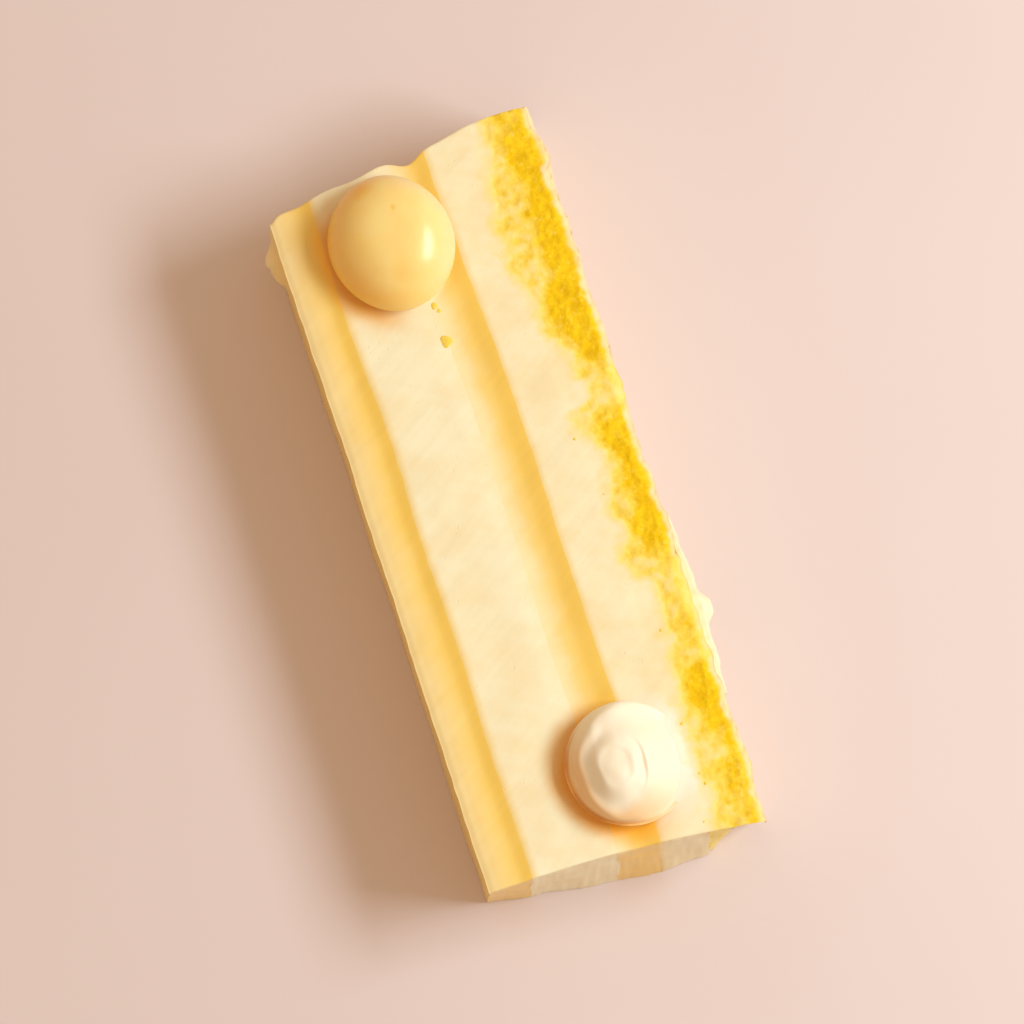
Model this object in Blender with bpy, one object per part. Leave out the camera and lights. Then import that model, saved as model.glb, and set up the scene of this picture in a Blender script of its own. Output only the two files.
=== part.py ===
"""A slice of layered cake lying on its cut side, with two piped dots on it.

The cake was built as a flat stack: madeleine sponge, a narrow cream, a curd, a wide cream and a curd
on top. A slice of it lies on one cut face, so the layers stand side by side from left (the curd that
was on top) to right (the sponge that was underneath) and all of them rest on the plate.

Metres, +Z up. X runs across the layers, Y along the slice, and the origin is the middle of the base.
"""

import math

import bmesh
import bpy
from mathutils import Vector, noise

MM = 0.001

# The slice: its height as it lies, and its length at the top curd's side and at the sponge's side.
THICKNESS = 17.0 * MM
LENGTH_AT_CURD = 88.0 * MM
LENGTH_AT_SPONGE = 94.6 * MM
FRONT_SKEW = 2.0 * MM  # how much further forward the near end is cut at the sponge
FRONT_HOLLOW = 0.8 * MM  # the near end's cut curves in by this in the middle
FAR_BULGE = 0.6 * MM  # and the far end's curves out
FAR_DIP = 1.0 * MM  # but for a dip about the middle curd
FAR_DIP_PLACE = (18.3 * MM, 1.9 * MM)  # where that is across the slice, and half its width
# How far the near end's foot lies behind its upper edge: (share across, millimetres).
NEAR_TUCK = ((0.0, 1.3), (0.16, 0.3), (0.42, -0.8), (0.6, -1.2), (0.76, -0.5), (0.97, 3.0))
LAYER_GAP = 0.3 * MM

# The layers' widths, from the curd that was on top to the sponge that was underneath.
TOP_CURD = 5.6 * MM
WIDE_CREAM = 10.8 * MM
MIDDLE_CURD = 5.4 * MM
NARROW_CREAM = 5.7 * MM
SPONGE = 7.5 * MM
WIDTH = TOP_CURD + WIDE_CREAM + MIDDLE_CURD + NARROW_CREAM + SPONGE

# Relief of the upper cut face, measured down from THICKNESS.
SHOULDER_DROP = 0.35 * MM  # a cream's side that the knife left last
CURD_RECESS = 0.8 * MM  # a curd where the next cream stands up beside it
CURD_EDGE_DROP = 0.6 * MM  # the top curd's outer edge, slightly slumped
CRUMB_DEPTH = 0.75 * MM
CRUMB_SIZE = 2.3 * MM

# Piped dots: centre across and along the slice, radius and height.
CUSTARD_CENTRE = (13.3 * MM, 35.7 * MM)
CUSTARD_RADIUS = 8.1 * MM
CUSTARD_OVAL = (0.94, 1.06)  # its width and its length, as shares of that
CUSTARD_HEIGHT = 6.6 * MM
CROWN_SHIFT = (0.8 * MM, 0.45 * MM)
CREAM_CENTRE = (20.8 * MM, -34.6 * MM)
CREAM_RADIUS = 7.7 * MM
CREAM_SKIRT = 2.2 * MM
CREAM_HEIGHT = 5.4 * MM
NUB_TOP = 1.7 * MM  # radius where the nub's flat top ends
NUB_FOOT = 4.4 * MM  # and where its side meets the skirt
NUB_SHIFT = (-1.7 * MM, -0.4 * MM)
NUB_OVAL = (0.95, 1.22)
TUCK = 1.9 * MM  # a dot's side curves in below its widest line as on an egg this deep
TUCK_ANGLE = -38  # and stops here, in degrees below that line, on its flat foot
DOT_SEAT = 1.5 * MM  # the cut face is level to this far inside a dot's rim

# A ribbon of cream pressed out on the sponge's outer side, and a lobe of curd on the other side.
RIBBON_LENGTH = 24.0 * MM
RIBBON_MIDDLE = -16.8 * MM
RIBBON_LOW = 5.0 * MM
RIBBON_HIGH = 12.5 * MM
RIBBON_DEPTH = 1.5 * MM
LOBE_ALONG = 39.4 * MM
LOBE_UP = 10.5 * MM
LOBE_DEPTH = 1.8 * MM

COARSE = 2.6 * MM  # facet size of creams and curds
FINE = 1.15 * MM  # facet size of the crumb


def smooth(low, high, value):
    """0 below low, 1 above high and an even curve between."""
    t = min(1.0, max(0.0, (value - low) / (high - low)))
    return t * t * (3.0 - 2.0 * t)


def ease(pairs, place):
    """Reads a list of (place, value) pairs, easing from each to the next and level beyond its ends."""
    for (a, first), (b, second) in zip(pairs, pairs[1:]):
        if a <= place <= b:
            return first + (second - first) * smooth(a, b, place)
    return pairs[0][1] if place < pairs[0][0] else pairs[-1][1]


def bell(value, middle, width):
    """1 at the middle and falling off evenly on both sides."""
    return math.exp(-(((value - middle) / width) ** 2))


def drift(along, row, size=16.0 * MM):
    """A slow wander between about -1 and 1 along the slice, different for each row."""
    return 1.6 * noise.noise(Vector((along / size, 7.3 * row, 1.7)))


def joint_at(number, along):
    """Where a boundary between two layers lies across the slice. 0 and 5 are the outer faces."""
    widths = (TOP_CURD, WIDE_CREAM, MIDDLE_CURD, NARROW_CREAM, SPONGE)
    place = sum(widths[:number])
    if number == 0:
        return place + 0.15 * MM * drift(along, 0)
    if number == 5:
        return place + 0.2 * MM * (drift(along, 5) - 1.0)
    far = smooth(10 * MM, 45 * MM, along)
    lean = {1: -0.3 * MM, 2: -0.4 * MM, 3: -1.0 * MM, 4: -0.5 * MM}[number]
    return place + lean * far + 0.3 * MM * drift(along, number)


def near_end(across, up):
    share = across / WIDTH
    middle = -(LENGTH_AT_CURD + LENGTH_AT_SPONGE) / 4
    hollow = FRONT_HOLLOW * math.sin(math.pi * share)
    tuck = ease(NEAR_TUCK, share) * MM
    return middle - FRONT_SKEW * (share - 0.5) + hollow + tuck * (1.0 - up / THICKNESS)


def far_end(across, up):
    share = across / WIDTH
    middle = (LENGTH_AT_CURD + LENGTH_AT_SPONGE) / 4
    skew = LENGTH_AT_SPONGE - LENGTH_AT_CURD - FRONT_SKEW
    bulge = FAR_BULGE * math.sin(math.pi * share) + 0.3 * MM * drift(across, 9, 4.0 * MM)
    bulge -= FAR_DIP * bell(across, *FAR_DIP_PLACE)
    return middle + skew * (share - 0.5) + bulge + 0.5 * MM * (1.0 - up / THICKNESS)


def seat(across, along):
    """1 under the middle of a piped dot, where the cut face is left level, and 0 away from both."""
    inside = 0.0
    custard = (CUSTARD_CENTRE, CUSTARD_RADIUS, CUSTARD_OVAL)
    cream = (CREAM_CENTRE, CREAM_RADIUS, (1.0, 1.0))
    for centre, radius, oval in (custard, cream):
        distance = math.hypot((across - centre[0]) / oval[0], (along - centre[1]) / oval[1])
        inside = max(inside, 1.0 - smooth(radius - DOT_SEAT, radius, distance))
    return inside


def crumb(point):
    """How deep the crumb is torn at a point, from 0 to 1: pits between rounded grains."""
    distances, _ = noise.voronoi(point / CRUMB_SIZE, distance_metric="DISTANCE")
    grain = min(1.0, distances[0] * 1.1)
    fine = 0.5 + 0.5 * noise.fractal(point / (1.4 * MM), 0.8, 2.1, 3)
    return min(1.0, max(0.0, 0.55 * grain + 0.45 * fine))


def drop_top_curd(share):
    edge = CURD_EDGE_DROP * (1.0 - smooth(0.0, 0.35, share))
    return edge + CURD_RECESS * smooth(0.15, 1.0, share)


def drop_middle_curd(share):
    return SHOULDER_DROP + (CURD_RECESS - SHOULDER_DROP) * smooth(0.0, 0.9, share)


def drop_cream(share):
    return SHOULDER_DROP * smooth(0.6, 1.0, share)


def drop_sponge(share):
    return SHOULDER_DROP * (1.0 - smooth(0.0, 0.3, share))


def grid_cube(cuts):
    """A closed unit cube from 0 to 1 whose faces are grids with the given cells along X, Y and Z."""
    bm = bmesh.new()
    bmesh.ops.create_cube(bm, size=1.0)
    bmesh.ops.translate(bm, verts=bm.verts, vec=(0.5, 0.5, 0.5))
    for axis in range(3):
        along = [e for e in bm.edges if abs(e.verts[0].co[axis] - e.verts[1].co[axis]) > 0.5]
        if cuts[axis] > 1:
            bmesh.ops.subdivide_edges(bm, edges=along, cuts=cuts[axis] - 1, use_grid_fill=True)
    return bm


def finish(name, bm, material):
    """Makes the object, shaded smooth but for its cut edges."""
    bmesh.ops.recalc_face_normals(bm, faces=bm.faces)
    mesh = bpy.data.meshes.new(name)
    bm.to_mesh(mesh)
    bm.free()
    mesh.shade_smooth()
    mesh.set_sharp_from_angle(angle=math.radians(40))
    mesh.materials.append(material)
    obj = bpy.data.objects.new(name, mesh)
    bpy.context.scene.collection.objects.link(obj)
    return obj


def layer(name, number, drop, facet, material, crumbly=False):
    """One layer between two boundaries of the stack, through the whole height of the slice."""
    width = joint_at(number + 1, 0.0) - joint_at(number, 0.0)
    cells = (
        max(2, round(width / facet)),
        round(LENGTH_AT_SPONGE / facet),
        max(4, round(THICKNESS / facet)),
    )
    bm = grid_cube(cells)
    if number == 0:
        refine_lobe(bm)
    for vert in bm.verts:
        u, v, w = vert.co
        up = THICKNESS * w
        rough = near_end(number * WIDTH / 5, up) * (1 - v) + far_end(number * WIDTH / 5, up) * v
        left = joint_at(number, rough) + (LAYER_GAP / 2 if number > 0 else 0.0)
        right = joint_at(number + 1, rough) - (LAYER_GAP / 2 if number < 4 else 0.0)
        across = left + (right - left) * u
        along = near_end(across, up) * (1 - v) + far_end(across, up) * v
        free = 1.0 - seat(across, along)
        if w == 1.0:
            up -= drop(u) * free + 0.08 * MM * free * (1.0 + drift(along, number + 20, 5 * MM))
        point = Vector((across, along, up))
        if crumbly and w > 0.0:
            depth = CRUMB_DEPTH * crumb(point)
            away = smooth(0.0, 0.12, u)
            if w == 1.0:
                point.z -= depth * free * away
            if u == 1.0:
                point.x -= depth
            if v in (0.0, 1.0):
                point.y += depth * away * (1.0 if v == 0.0 else -1.0)
        if number == 0 and u == 0.0:
            point.x -= lobe(along, up)
        vert.co = point
    return finish(name, bm, material)


def refine_lobe(bm):
    """Splits the cells of the outer wall where the lobe is, while the layer is still a unit cube."""
    middle = Vector((0.0, 0.5 + LOBE_ALONG / LENGTH_AT_CURD, LOBE_UP / THICKNESS))
    reach = (0.0, 5.5 * MM / LENGTH_AT_CURD, 6.5 * MM / THICKNESS)
    edges = [
        edge
        for edge in bm.edges
        if all(abs(v.co[i] - middle[i]) <= reach[i] for v in edge.verts for i in range(3))
    ]
    bmesh.ops.subdivide_edges(bm, edges=edges, cuts=3, use_grid_fill=True)


def lobe(along, up):
    """A ruffled bit of curd that swelled out on the side that was the cake's top."""
    sideways = (along - LOBE_ALONG) / (2.6 * MM)
    upright = (up - LOBE_UP) / (3.0 * MM)
    ruffle = 1.0 + 0.25 * math.sin((along + 0.5 * up) / (0.55 * MM))
    return LOBE_DEPTH * ruffle * math.exp(-(sideways**2) - upright**2)


def egg_profile(radius, height, start, end, steps):
    """Points (radius, height) of an egg's side, with start and end in degrees from its widest line."""
    points = []
    for i in range(steps + 1):
        angle = math.radians(start + (end - start) * i / steps)
        points.append((radius * math.cos(angle), height * math.sin(angle)))
    return points


def dome_profile(radius, height, steps):
    """Points (radius, height) of a dome's side, fuller and flatter on top than an egg's."""
    reaches = [radius * (1.0 - (i / steps) ** 2) for i in range(steps + 1)]
    return [(reach, height * (1.0 - (reach / radius) ** 2.6) ** 0.6) for reach in reaches]


def turned(profile, turns):
    """A closed round solid from a profile that runs from the foot to the top on the axis."""
    bm = bmesh.new()
    verts = [bm.verts.new((r, 0.0, z)) for r, z in profile]
    edges = [bm.edges.new(pair) for pair in zip(verts, verts[1:])]
    bmesh.ops.spin(
        bm,
        geom=verts + edges,
        cent=(0, 0, 0),
        axis=(0, 0, 1),
        angle=2 * math.pi,
        steps=turns,
        use_merge=True,
    )
    bmesh.ops.remove_doubles(bm, verts=bm.verts, dist=0.01 * MM)
    rim = [e for e in bm.edges if e.is_boundary]
    bmesh.ops.contextual_create(bm, geom=rim)
    return bm


def place_dot(name, bm, centre, material):
    """Stands a dot on the level part of the cut face."""
    foot = min(v.co.z for v in bm.verts)
    move = Vector((centre[0], centre[1], THICKNESS + LAYER_GAP - foot))
    bmesh.ops.translate(bm, verts=bm.verts, vec=move)
    return finish(name, bm, material)


def custard_dot(material):
    """A smooth full dome of custard, widest a little above its foot and leaning to one side."""
    foot = egg_profile(CUSTARD_RADIUS, TUCK, TUCK_ANGLE, 0, 4)
    dome = dome_profile(CUSTARD_RADIUS, CUSTARD_HEIGHT - abs(foot[0][1]), 14)
    bm = turned(foot[:-1] + dome, 36)
    for vert in bm.verts:
        height = max(0.0, vert.co.z) / CUSTARD_HEIGHT
        angle = math.atan2(vert.co.y, vert.co.x)
        vert.co.x *= CUSTARD_OVAL[0] * (1.0 + 0.02 * math.cos(2 * angle + 0.6))
        vert.co.y *= CUSTARD_OVAL[1]
        vert.co.x += CROWN_SHIFT[0] * height
        vert.co.y += CROWN_SHIFT[1] * height
    return place_dot("custard_dot", bm, CUSTARD_CENTRE, material)


def cream_outline(steps):
    """Points (radius, height) from the cream dot's widest line over its skirt and nub to the axis."""
    top = CREAM_HEIGHT + TUCK * math.sin(math.radians(TUCK_ANGLE))
    points = []
    for i in range(steps + 1):
        radius = CREAM_RADIUS * (1.0 - (i / steps) ** 2)
        skirt = CREAM_SKIRT * math.sqrt(1.0 - (radius / CREAM_RADIUS) ** 5)
        nub = (top - CREAM_SKIRT) * (1.0 - smooth(NUB_TOP, NUB_FOOT, radius))
        points.append((radius, skirt + nub * (1.0 - 0.05 * (radius / NUB_TOP) ** 2)))
    return points


def fold(radius, angle):
    """What the nozzle's folds add to the cream dot.

    The curd's side falls away to a thin lip. The other side slopes up to the nub, with a short groove.
    """
    left = smooth(0.35, 0.95, 0.5 - 0.5 * math.cos(angle - 0.35))
    lip = 0.3 * bell(radius, 6.8 * MM, 0.7 * MM) - 0.9 * smooth(3.7 * MM, 6.8 * MM, radius)
    open_side = 0.5 + 0.5 * math.cos(angle - 0.4)
    slope = 1.2 * (1.0 - smooth(3.5 * MM, 7.4 * MM, radius)) * smooth(1.5 * MM, 4.2 * MM, radius)
    groove = 0.5 * bell(radius, 3.9 * MM, 0.45 * MM) * smooth(0.8, 1.0, 0.5 + 0.5 * math.cos(angle))
    return (lip * left + slope * open_side - groove) * MM


def settled(radius, angle):
    """How far the cream dot's skirt has sunk onto the cut face: on the sponge's side, towards its rim."""
    right = smooth(0.45, 0.95, 0.5 + 0.5 * math.cos(angle + 0.2))
    return 0.8 * right * smooth(4.6 * MM, CREAM_RADIUS, radius)


def cream_dot(material):
    """A wide skirt of piped cream with a blunt nub where the nozzle was pulled away."""
    foot = egg_profile(CREAM_RADIUS, TUCK, TUCK_ANGLE, 0, 4)
    low = foot[0][1]
    bm = turned(foot[:-1] + cream_outline(18), 40)
    for vert in bm.verts:
        radius = math.hypot(vert.co.x, vert.co.y)
        angle = math.atan2(vert.co.y, vert.co.x)
        if vert.co.z > 0.0:
            vert.co.z += fold(radius, angle) * smooth(0.0, 0.5 * CREAM_SKIRT, vert.co.z)
        vert.co.z += (low - vert.co.z) * settled(radius, angle)
        inward = 1.0 - smooth(NUB_FOOT, CREAM_RADIUS, radius)
        vert.co.x *= 1.0 + (NUB_OVAL[0] - 1.0) * inward
        vert.co.y *= 1.0 + (NUB_OVAL[1] - 1.0) * inward
        vert.co.x += NUB_SHIFT[0] * inward
        vert.co.y += NUB_SHIFT[1] * inward
    return place_dot("cream_dot", bm, CREAM_CENTRE, material)


def side_ribbon(material):
    """Cream squeezed out along the sponge's outer side, thick in the middle and thin at its ends."""
    bm = grid_cube((3, 16, 5))
    for vert in bm.verts:
        u, v, w = vert.co
        along = RIBBON_MIDDLE + RIBBON_LENGTH * (v - 0.5)
        wander = 1.1 * MM * drift(along, 31, 6 * MM)
        low = RIBBON_LOW + wander
        high = RIBBON_HIGH + 0.6 * wander
        ends = math.sin(math.pi * (0.08 + 0.84 * v)) ** 0.6
        middle = (low + high) / 2
        up = middle + (high - low) * (w - 0.5) * ends
        peak = math.exp(-(((v - 0.47) / 0.07) ** 2))
        depth = RIBBON_DEPTH * (0.7 + 0.25 * drift(along, 37, 3 * MM) + 0.9 * peak)
        round_off = math.cos(math.pi * 0.8 * (w - 0.5)) * ends
        across = WIDTH + LAYER_GAP + depth * round_off * u
        vert.co = (across, along, up)
    return finish("side_ribbon", bm, material)


def food(name, colour, roughness):
    """A food's surface: linear colour and roughness, and never metallic."""
    material = bpy.data.materials.new(name)
    material.use_nodes = True
    shader = material.node_tree.nodes["Principled BSDF"]
    shader.inputs["Base Color"].default_value = (*colour, 1.0)
    shader.inputs["Roughness"].default_value = roughness
    shader.inputs["Metallic"].default_value = 0.0
    return material


def rest_on_base(objects):
    """Hangs everything on one empty, so that the middle of the base is the origin."""
    bpy.context.view_layer.update()
    corners = [obj.matrix_world @ Vector(corner) for obj in objects for corner in obj.bound_box]
    low = [min(c[axis] for c in corners) for axis in range(3)]
    high = [max(c[axis] for c in corners) for axis in range(3)]
    base = bpy.data.objects.new("slice", None)
    bpy.context.scene.collection.objects.link(base)
    base.location = (-(low[0] + high[0]) / 2, -(low[1] + high[1]) / 2, -low[2])
    for obj in objects:
        obj.parent = base


def main():
    for obj in list(bpy.data.objects):
        bpy.data.objects.remove(obj)
    curd = food("lemon_curd", (0.89, 0.55, 0.13), 0.35)
    cream = food("white_cream", (0.93, 0.80, 0.56), 0.5)
    crumb_face = food("madeleine_crumb", (0.86, 0.52, 0.04), 0.85)
    custard = food("custard", (0.92, 0.62, 0.19), 0.25)
    objects = [
        layer("top_curd", 0, drop_top_curd, COARSE, curd),
        layer("wide_cream", 1, drop_cream, COARSE, cream),
        layer("middle_curd", 2, drop_middle_curd, COARSE, curd),
        layer("narrow_cream", 3, drop_cream, COARSE, cream),
        layer("madeleine_sponge", 4, drop_sponge, FINE, crumb_face, crumbly=True),
        custard_dot(custard),
        cream_dot(cream),
        side_ribbon(cream),
    ]
    rest_on_base(objects)


main()
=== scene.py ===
# %% [markdown]
# # A slice of layered cake, dressed around its solids
#
# The cake was built flat, as a stack: sponge, a narrow cream, a curd, a wide cream and a curd on top.
# A slice of it lies on one cut face, so we look down on the other and see the layers as stripes. The
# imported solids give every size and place, and this lesson models the food on them. We start by loading
# them and noting the box that the finished slice has to stay inside.

# %% The frame
import math
import random

import bmesh
import bpy
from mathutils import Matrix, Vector, noise


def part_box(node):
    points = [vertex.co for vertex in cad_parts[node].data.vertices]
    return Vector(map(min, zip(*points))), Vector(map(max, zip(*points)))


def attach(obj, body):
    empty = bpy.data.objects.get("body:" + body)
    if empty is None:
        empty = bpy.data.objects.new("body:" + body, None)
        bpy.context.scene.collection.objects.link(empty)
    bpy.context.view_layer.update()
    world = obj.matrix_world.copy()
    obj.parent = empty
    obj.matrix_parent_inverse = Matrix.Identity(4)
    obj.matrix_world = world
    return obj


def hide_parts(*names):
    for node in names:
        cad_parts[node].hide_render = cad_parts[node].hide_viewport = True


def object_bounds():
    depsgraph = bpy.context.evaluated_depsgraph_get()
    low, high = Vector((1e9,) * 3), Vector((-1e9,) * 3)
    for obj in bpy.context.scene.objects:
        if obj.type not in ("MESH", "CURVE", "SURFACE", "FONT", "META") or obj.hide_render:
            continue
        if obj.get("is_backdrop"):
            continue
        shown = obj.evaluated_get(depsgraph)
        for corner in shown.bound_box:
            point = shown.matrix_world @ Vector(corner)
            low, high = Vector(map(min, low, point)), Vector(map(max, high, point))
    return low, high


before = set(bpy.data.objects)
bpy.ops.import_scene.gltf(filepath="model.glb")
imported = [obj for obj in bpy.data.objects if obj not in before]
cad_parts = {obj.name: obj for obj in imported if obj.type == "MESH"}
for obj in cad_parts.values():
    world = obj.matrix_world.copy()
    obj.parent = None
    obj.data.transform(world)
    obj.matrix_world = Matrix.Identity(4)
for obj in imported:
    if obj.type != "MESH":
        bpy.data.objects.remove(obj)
solid_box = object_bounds()
MM = 0.001
print("solids:", ", ".join(sorted(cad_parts)))

# %% [markdown]
# ## Where the slice is
#
# Every piece is easiest to describe in the slice's own terms: how far *across* the stack from the curd's
# outer side, how far *along* the slice from its middle, and how far *up* from the plate. The solids sit
# with the middle of their box at the origin, so the two systems differ by a shift. The side ribbon has a
# flat inner face a known distance off the stack, and a known middle, so its box gives that shift.

# %% The slice's own measures
THICKNESS = 17.0 * MM
LENGTH_AT_CURD = 88.0 * MM
LENGTH_AT_SPONGE = 94.6 * MM
FRONT_SKEW = 2.0 * MM
FRONT_HOLLOW = 0.8 * MM
FAR_BULGE = 0.6 * MM
FAR_DIP = 1.0 * MM
FAR_DIP_PLACE = (18.3 * MM, 1.9 * MM)
NEAR_TUCK = ((0.0, 1.3), (0.16, 0.3), (0.42, -0.8), (0.6, -1.2), (0.76, -0.5), (0.97, 3.0))
WIDTHS = (5.6 * MM, 10.8 * MM, 5.4 * MM, 5.7 * MM, 7.5 * MM)
WIDTH = sum(WIDTHS)
TOP_CURD, WIDE_CREAM, MIDDLE_CURD, NARROW_CREAM, SPONGE = range(5)
GAP = 0.3 * MM
RIBBON_MIDDLE = -16.8 * MM

ribbon_low, ribbon_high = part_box("side_ribbon")
START = Vector((ribbon_low.x - GAP - WIDTH, (ribbon_low.y + ribbon_high.y) / 2 - RIBBON_MIDDLE, 0.0))
print("the stack starts at", [round(v / MM, 2) for v in START], "mm")


def smooth(low, high, value):
    """0 below low, 1 above high and an even curve between."""
    t = min(1.0, max(0.0, (value - low) / (high - low)))
    return t * t * (3.0 - 2.0 * t)


def blend(first, second, share):
    return first + (second - first) * share


def ease(pairs, place):
    """Reads a list of (place, value) pairs, easing from each to the next and level beyond its ends."""
    for (a, first), (b, second) in zip(pairs, pairs[1:]):
        if a <= place <= b:
            return blend(first, second, smooth(a, b, place))
    return pairs[0][1] if place < pairs[0][0] else pairs[-1][1]


def bell(value, middle, width):
    """1 at the middle and falling off evenly on both sides."""
    return math.exp(-(((value - middle) / width) ** 2))


def drift(along, row, size=16.0 * MM):
    """A slow wander between about -1 and 1 along the slice, different for each row."""
    return 1.6 * noise.noise(Vector((along / size, 7.3 * row, 1.7)))


def grain(across, along, up, size, seed=0.0):
    """Noise between about -1 and 1 with features of the given size (one number, or one per axis)."""
    sx, sy, sz = size if isinstance(size, tuple) else (size, size, size)
    return 1.5 * noise.noise(Vector((across / sx + seed, along / sy - seed, up / sz + 3.1 * seed)))


# %% [markdown]
# ## The layers' boundaries
#
# These three functions say where the stack's inner boundaries and its two cut ends run. They follow the
# solids, with a fine waver added that is too small for them: real layers are spread by hand. A boundary
# also wanders with depth, but only below the cut face, so that the ends don't show ruled lines.

# %% Boundaries and ends
NEAR_TRIM = 0.25 * MM
FAR_CORNER = 0.5 * MM
BOUNDARY_LEANS = {1: -0.3 * MM, 2: -0.4 * MM, 3: -1.0 * MM, 4: -0.5 * MM}
LUMP_ALONG = 38.7 * MM
CORNER_CUT = (40 * MM, 42 * MM)


def joint_at(number, along, up=THICKNESS):
    """Where a boundary between two layers lies across the slice. 0 and 5 are the outer faces."""
    place = sum(WIDTHS[:number])
    if number == 0:
        rough = 0.06 * grain(0, along, 0, 1.9 * MM, 47) * smooth(5.0 * MM, 0.0, THICKNESS - up)
        return place + (0.15 * drift(along, 0) + rough) * MM
    if number == 5:
        near_top = smooth(2.5 * MM, 0.0, THICKNESS - up)
        ragged = grain(0, along, 0, 2.8 * MM, 45) + 0.5 * grain(0, along, 0, 1.1 * MM, 46)
        swell = 0.5 * bell(along, LUMP_ALONG, 1.1 * MM) - 0.35 * smooth(*CORNER_CUT, along)
        return place + 0.2 * MM * (drift(along, 5) - 0.7) + (swell - 0.25 * ragged) * MM * near_top
    waver = 0.07 * MM * grain(0, along, 0, 2.2 * MM, number)
    deep = 0.35 * MM * grain(0, along, up, 7 * MM, number + 9) * smooth(0, 5 * MM, THICKNESS - up)
    lean = BOUNDARY_LEANS[number] * smooth(10 * MM, 45 * MM, along)
    return place + lean + 0.3 * MM * drift(along, number) + waver + deep


def near_end(across, up):
    share = across / WIDTH
    middle = -(LENGTH_AT_CURD + LENGTH_AT_SPONGE) / 4
    hollow = FRONT_HOLLOW * math.sin(math.pi * share)
    tuck = ease(NEAR_TUCK, share) * MM
    return middle - FRONT_SKEW * (share - 0.5) + hollow + tuck * (1.0 - up / THICKNESS) + NEAR_TRIM


def far_end(across, up):
    share = across / WIDTH
    middle = (LENGTH_AT_CURD + LENGTH_AT_SPONGE) / 4
    skew = LENGTH_AT_SPONGE - LENGTH_AT_CURD - FRONT_SKEW
    bulge = FAR_BULGE * math.sin(math.pi * share) + 0.3 * MM * drift(across, 9, 4.0 * MM)
    bulge -= FAR_DIP * bell(across, *FAR_DIP_PLACE) + FAR_CORNER * smooth(1.4 * MM, 0.0, across)
    return middle + skew * (share - 0.5) + bulge + 0.5 * MM * (1.0 - up / THICKNESS)


for number in range(6):
    print(f"boundary {number} at the middle of the slice: {joint_at(number, 0.0) / MM:.2f} mm across")

# %% [markdown]
# ## The dots' seats
#
# Two piped dots stand on the cut face. The face is level under each of them, and its relief fades out
# just inside their rims, where nobody sees the change. Each dot's last number says how far round it the
# painted shadow beside it reaches: the lower, the further.

# %% Seats of the two dots
CUSTARD_CENTRE = (13.3 * MM, 35.7 * MM)
CUSTARD_RADIUS = 8.1 * MM
CUSTARD_OVAL = (0.94, 1.06)
CREAM_CENTRE = (20.8 * MM, -34.6 * MM)
CREAM_RADIUS = 7.7 * MM
DOTS = (
    (CUSTARD_CENTRE, CUSTARD_RADIUS, CUSTARD_OVAL, 0.6),
    (CREAM_CENTRE, CREAM_RADIUS, (1.0, 1.0), 0.1),
)
DOT_SEAT = 1.5 * MM


def from_dot(across, along, centre, oval=(1.0, 1.0)):
    """A place's distance from a dot's middle, as if the dot were round, and its direction."""
    x, y = (across - centre[0]) / oval[0], (along - centre[1]) / oval[1]
    return math.hypot(x, y), math.atan2(y, x)


def open_face(across, along):
    """0 under the middle of a piped dot, and 1 where the cut face is free to have its relief."""
    inside = 0.0
    for centre, radius, oval, _ in DOTS:
        distance, _ = from_dot(across, along, centre, oval)
        inside = max(inside, 1.0 - smooth(radius - DOT_SEAT, radius, distance))
    return 1.0 - inside


# %% [markdown]
# ## The cut face
#
# Soft cream bulges a little out of a cut, and curd sinks. So the face has a shallow profile across the
# whole stack, as (millimetres across, millimetres down) pairs for layers of their usual widths. Over it
# lies one relief for all the layers: slow unevenness, slanting strokes of the knife and a fine waver.
# Beside each dot a shadow is painted into the face's colour, on the side away from the light, and on the
# cream dot's other side its cream spread into the film. The last two functions measure that.

# %% Profile and relief of the cut face
CUT_FACE = (
    (0.0, 0.42), (0.8, 0.24), (1.8, 0.2), (4.0, 0.32), (6.1, 0.03), (14.0, 0.0),
    (19.4, 0.38), (22.3, 0.03), (26.8, 0.0), (28.5, 0.05), (33.6, 0.05), (35.0, 0.6),
)  # fmt: skip
SHADOW_REACH = 3.0 * MM
SHADOW_OPPOSITE = math.radians(15)
MILK_REACH = 2.4 * MM


def relief(across, along):
    """How far the face is below its highest places, apart from its profile and the crumb."""
    slant = along - 0.6 * across
    slow = grain(across, along, 0, 6.5 * MM, 51)
    strokes = grain(across, slant, 0, (7.0 * MM, 2.0 * MM, MM), 52)
    thin = grain(across, slant, 0, (3.5 * MM, 0.6 * MM, MM), 53)
    return (0.16 + 0.09 * slow + 0.028 * strokes + 0.014 * thin) * MM


def sunk(number, u, across, along):
    """How far a layer's cut face lies below the slice's full thickness."""
    usual = sum(WIDTHS[:number]) + u * WIDTHS[number]
    return (ease(CUT_FACE, usual / MM) * MM + relief(across, along)) * open_face(across, along)


def painted_dot_shadow(across, along):
    """How much painted shadow the dots cast on the face: most on the side away from the light."""
    shadowed = 0.0
    for centre, radius, oval, narrow in DOTS:
        distance, angle = from_dot(across, along, centre, oval)
        beyond = distance - radius + 0.4 * MM * grain(across, along, 0, 3.0 * MM, 57)
        side = smooth(narrow, 0.95, 0.5 - 0.5 * math.cos(angle - SHADOW_OPPOSITE))
        shadowed = max(shadowed, side * (1.0 - smooth(0.0, SHADOW_REACH, beyond)))
    return shadowed


def milk(across, along):
    """How white the film is beside the cream dot, which spread into it on the sponge's side."""
    distance, angle = from_dot(across, along, CREAM_CENTRE)
    beyond = distance - CREAM_RADIUS + 0.5 * MM * grain(across, along, 0, 2.5 * MM, 58)
    side = smooth(0.45, 0.9, 0.5 + 0.5 * math.cos(angle + 0.2))
    return side * (1.0 - smooth(0.0, MILK_REACH, beyond))


print("drop of the middle curd:", [round(sunk(2, u / 4, 0.019, 0.0) / MM, 2) for u in range(5)], "mm")

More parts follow.
